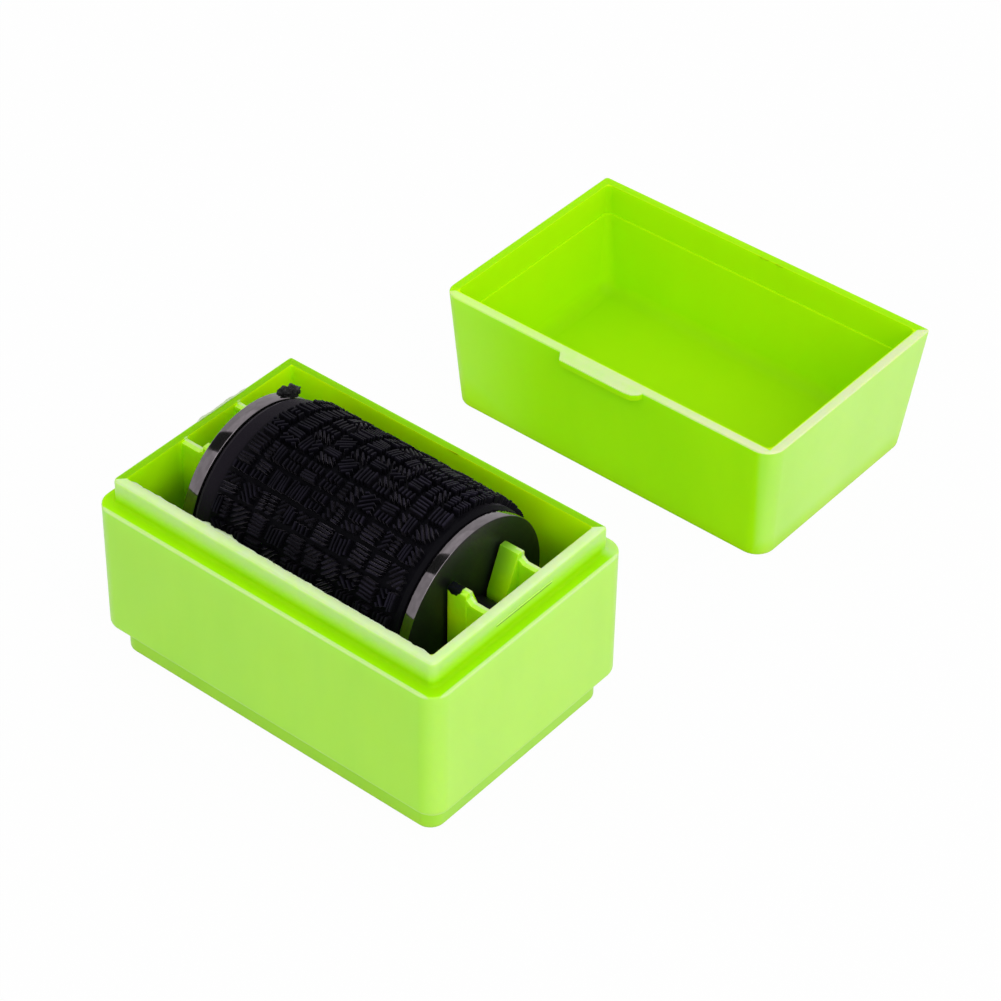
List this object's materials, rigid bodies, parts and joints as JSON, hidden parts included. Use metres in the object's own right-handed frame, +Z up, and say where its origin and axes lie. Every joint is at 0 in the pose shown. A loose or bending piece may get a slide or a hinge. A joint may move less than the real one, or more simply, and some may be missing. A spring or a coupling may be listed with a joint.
{
  "type": "privacy roller stamp",
  "caption": "Privacy roller stamp: an inked roller with raised strokes turns in an open rectangular case, and a loose cap with a thumb tab closes over it.",
  "frame": {"origin": "middle of the case's underside, on the surface it stands on", "axes": "X along the case and along the roller's axis, +Y from the near long side towards the cap that stands behind, +Z up"},
  "size_m": [0.062, 0.1154, 0.0387],
  "materials": {
    "case_lime": "lime green polypropylene, satin",
    "cap_lime": "lime green polypropylene, satin",
    "flange_black": "polished black",
    "tube_black": "plain black",
    "pad_felt": "felt soaked with black ink",
    "sleeve_rubber": "matte, porous, inked"
  },
  "bodies": {
    "case": {"case_body": "case_lime"},
    "roller": {"core_tube": "tube_black", "ink_pad": "pad_felt", "stamp_sleeve": "sleeve_rubber", "flange_left": "flange_black", "flange_right": "flange_black"},
    "cap": {"cap": "cap_lime"}
  },
  "joints": [
    {"name": "roller_spin", "type": "hinge", "parent": "case", "child": "roller", "pos_m": [0, 0, 0.0231], "axis": [1, 0, 0], "continuous": true},
    {"name": "cap_turn", "type": "hinge", "parent": "case", "child": "cap", "pos_m": [0, 0.0374, 0.02405], "axis": [1, 0, 0], "range_deg": [0, 180]}
  ]
}
